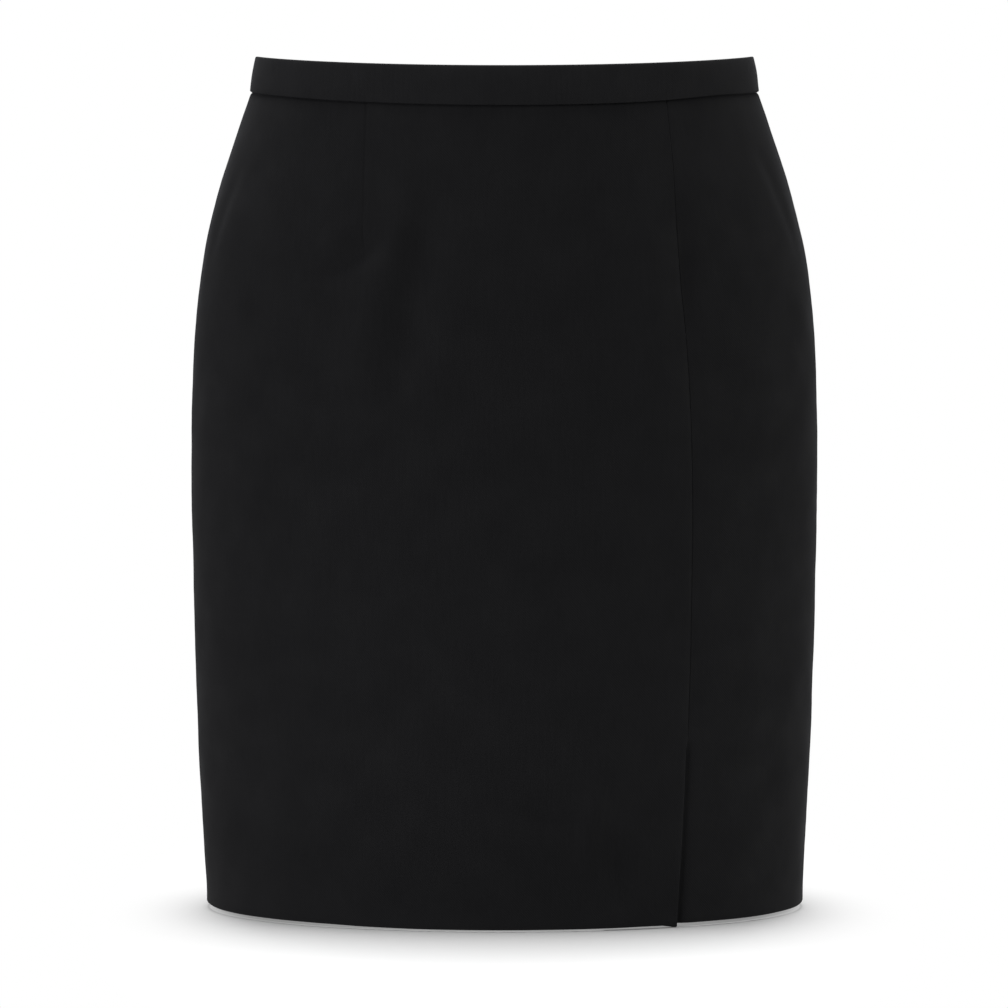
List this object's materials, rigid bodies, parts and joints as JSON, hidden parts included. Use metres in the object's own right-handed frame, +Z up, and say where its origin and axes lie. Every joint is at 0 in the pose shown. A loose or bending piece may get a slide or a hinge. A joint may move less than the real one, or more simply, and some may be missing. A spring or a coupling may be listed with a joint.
{
  "type": "pencil skirt",
  "caption": "Short black pencil skirt in its worn form, with a contour waistband, a princess seam that ends in a vent, and a concealed back zip.",
  "frame": {"origin": "centre of the waist seam's ring, level with that seam at the side seams, where the wearer's waist holds the skirt", "axes": "+Z up from hem to waist, -Y out of the centre front, +X to the wearer's left"},
  "size_m": [0.3908, 0.2757, 0.5305],
  "materials": {
    "suiting": "smooth matt black suiting with a faint sheen",
    "waistband": "the same suiting, interfaced and pressed",
    "zip_tape": "black woven tape",
    "zip_metal": "black lacquered brass"
  },
  "bodies": {
    "skirt": {"front_panel": "suiting", "side_front_panel": "suiting", "back_panel_left": "suiting", "back_panel_right": "suiting", "waistband_front": "waistband", "waistband_back_left": "waistband", "waistband_back_right": "waistband", "zip_tape_left": "zip_tape", "zip_tape_right": "zip_tape", "zip_slider": "zip_metal"},
    "pull_tab": {"zip_pull_tab": "zip_metal"}
  },
  "joints": [
    {"name": "pull_tab_swing", "type": "hinge", "parent": "skirt", "child": "pull_tab", "pos_m": [0, 0.11272, 0.00639], "axis": [1, 0, 0], "range_deg": [0, 170]}
  ]
}
